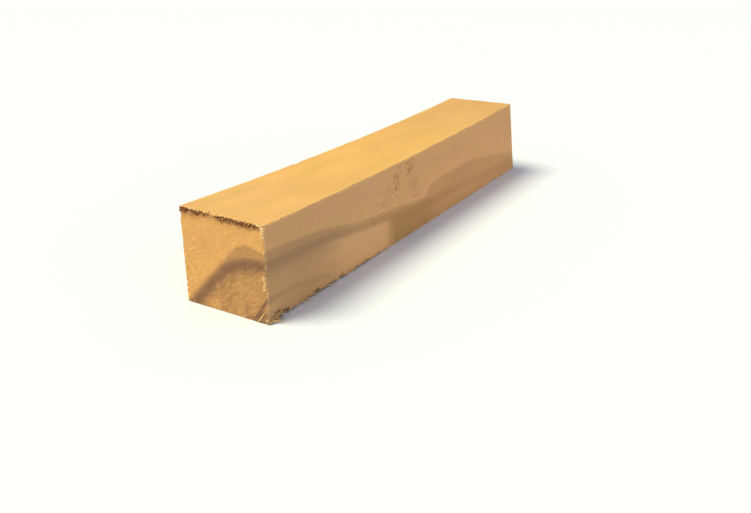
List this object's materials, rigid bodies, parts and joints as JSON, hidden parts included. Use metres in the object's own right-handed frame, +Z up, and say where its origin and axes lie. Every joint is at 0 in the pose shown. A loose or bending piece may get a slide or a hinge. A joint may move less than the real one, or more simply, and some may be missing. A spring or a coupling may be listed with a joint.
{
  "type": "wood pen blank",
  "caption": "Square stick of solid plum wood for turning a pen barrel, with rough-sawn faces, dark growth rings on its end grain and torn fibres along its edges.",
  "frame": {"origin": "centre of the nominal bottom face, on the surface that the stick lies on", "axes": "+X along the grain from the near end, which shows the dark growth ring, to the skew far end; +Y to the left seen from the near end, so the figured side that the picture shows faces -Y; +Z up"},
  "size_m": [0.1218, 0.0214, 0.0204],
  "materials": {
    "plum_wood": "rough sawn and unfinished; warm yellow-tan wood with a purplish brown growth ring, dull"
  },
  "bodies": {
    "root": {"blank": "plum_wood"}
  },
  "joints": []
}
